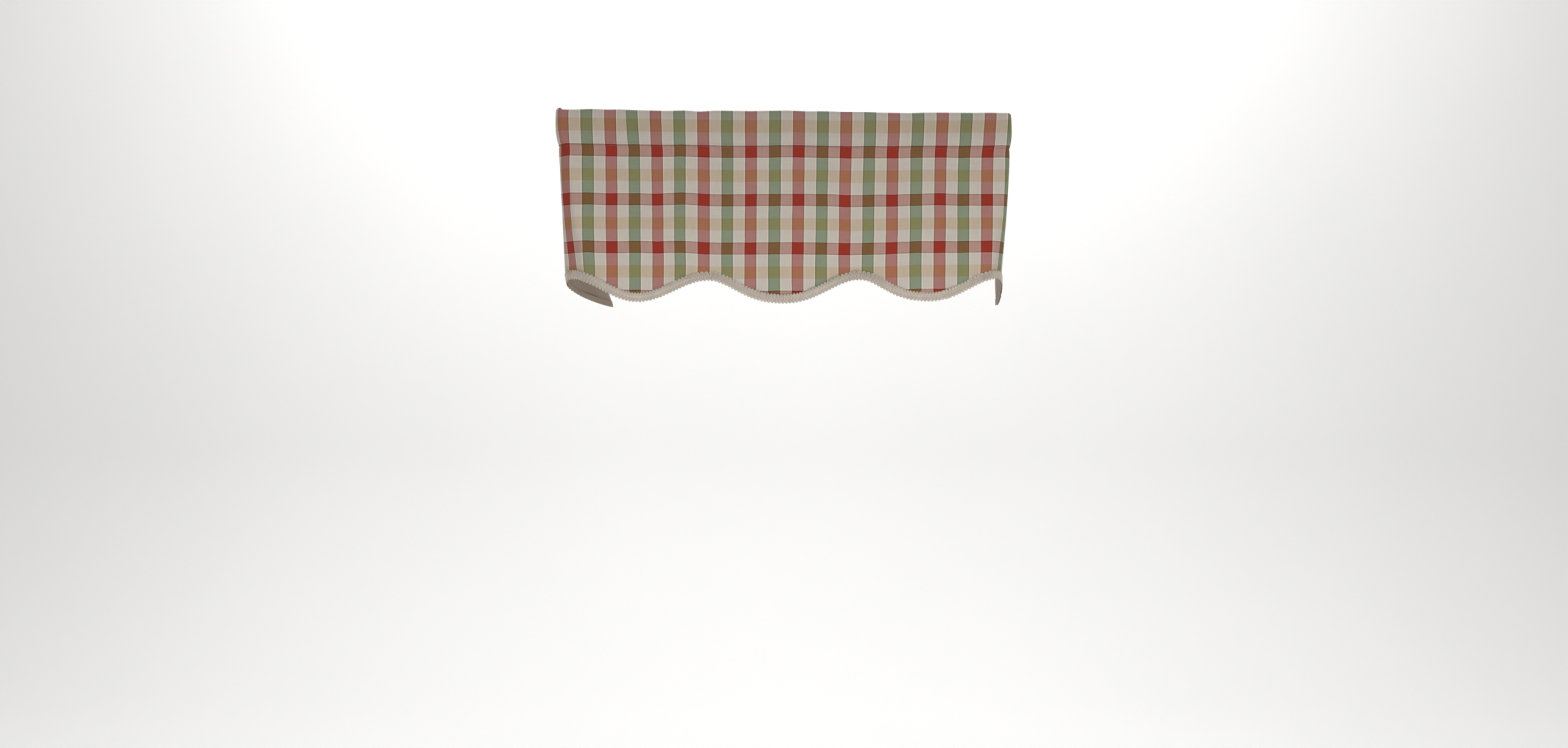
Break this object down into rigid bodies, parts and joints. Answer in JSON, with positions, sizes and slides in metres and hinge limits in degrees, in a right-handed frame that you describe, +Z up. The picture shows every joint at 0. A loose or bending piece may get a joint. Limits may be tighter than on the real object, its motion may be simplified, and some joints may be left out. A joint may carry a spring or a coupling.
{
  "type": "window valance",
  "caption": "Rod-pocket window valance of red, green, tan and cream checked cotton, with a scalloped hem, side returns, plain lining and looped gimp braid.",
  "frame": {"origin": "middle of the heading's top edge, over the curtain rod", "axes": "+Z up, -Y out of the front into the room, +Y back along the side returns towards the window, +X to the right for someone facing the window"},
  "size_m": [0.9784, 0.1869, 0.4178],
  "materials": {
    "heading_check": "matte woven cotton check in barn red, olive green, tan and cream",
    "panel_check": "matte woven cotton check in barn red, olive green, tan and cream",
    "lining_ecru": "matte plain cotton, ecru",
    "gimp_braid": "looped cotton gimp braid, natural cream"
  },
  "bodies": {
    "root": {"heading": "heading_check", "panel": "panel_check", "lining": "lining_ecru", "braid": "gimp_braid"}
  },
  "joints": []
}
